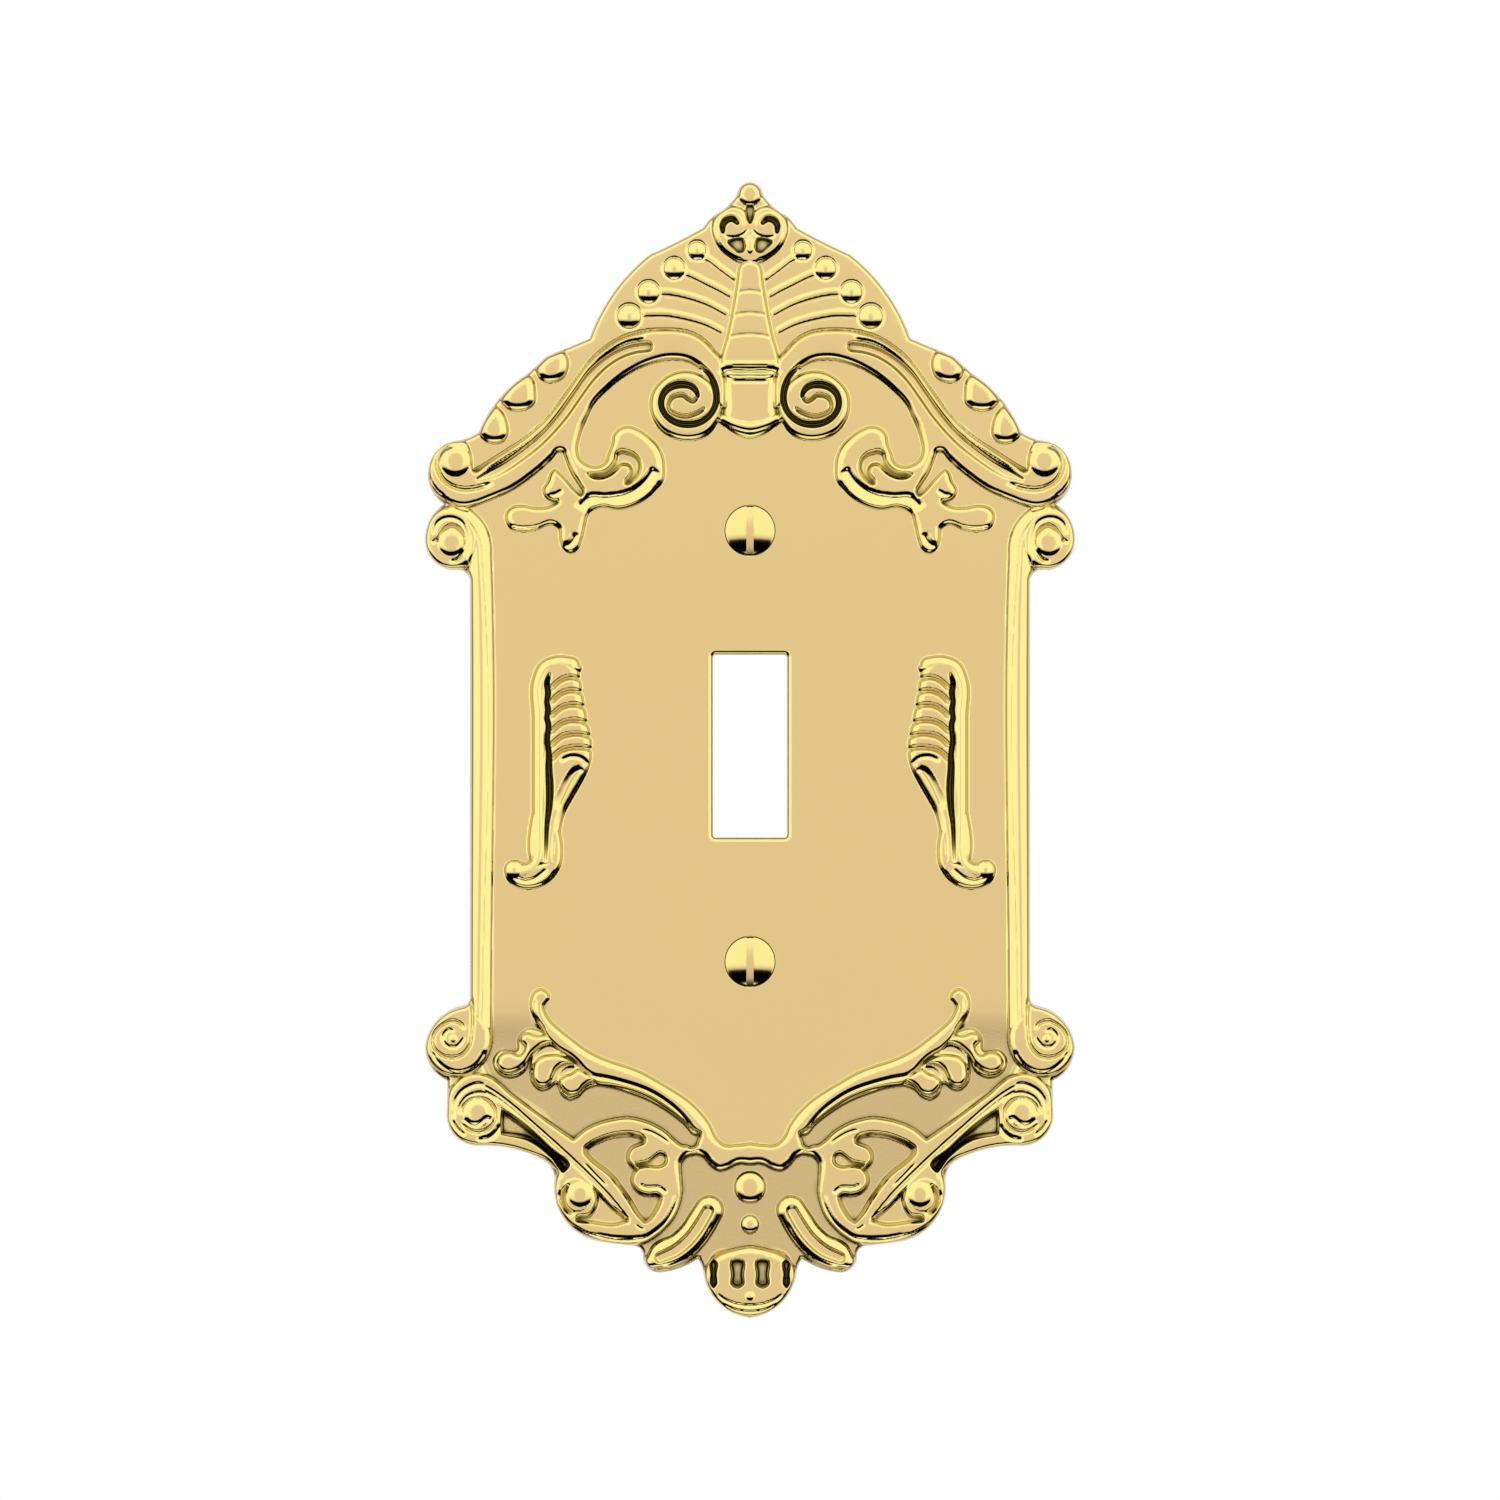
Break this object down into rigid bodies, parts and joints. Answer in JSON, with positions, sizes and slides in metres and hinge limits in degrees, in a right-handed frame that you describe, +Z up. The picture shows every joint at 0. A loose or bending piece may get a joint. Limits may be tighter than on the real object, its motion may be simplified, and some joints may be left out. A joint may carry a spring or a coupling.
{
  "type": "wall plate cover",
  "caption": "Ornate polished brass wall plate with scroll relief, an opening for a toggle switch and two oval-head screws.",
  "frame": {"origin": "on the wall plane, midway between the two screws and at the middle of the toggle opening", "axes": "+Z up along the plate, -Y out of the wall through the front face, +X to the right seen from the front"},
  "size_m": [0.091, 0.0204, 0.159],
  "materials": {
    "polished_brass": "polished and lacquered, matte in the recessed grounds",
    "screw_brass": "bright turned brass"
  },
  "bodies": {
    "plate": {"plate": "polished_brass"},
    "upper_screw": {"upper_screw": "screw_brass"},
    "lower_screw": {"lower_screw": "screw_brass"}
  },
  "joints": [
    {"name": "upper_screw_slide", "type": "slide", "parent": "plate", "child": "upper_screw", "axis": [0, -1, 0], "range_m": [0, 0.02]},
    {"name": "lower_screw_slide", "type": "slide", "parent": "plate", "child": "lower_screw", "axis": [0, -1, 0], "range_m": [0, 0.02]}
  ]
}
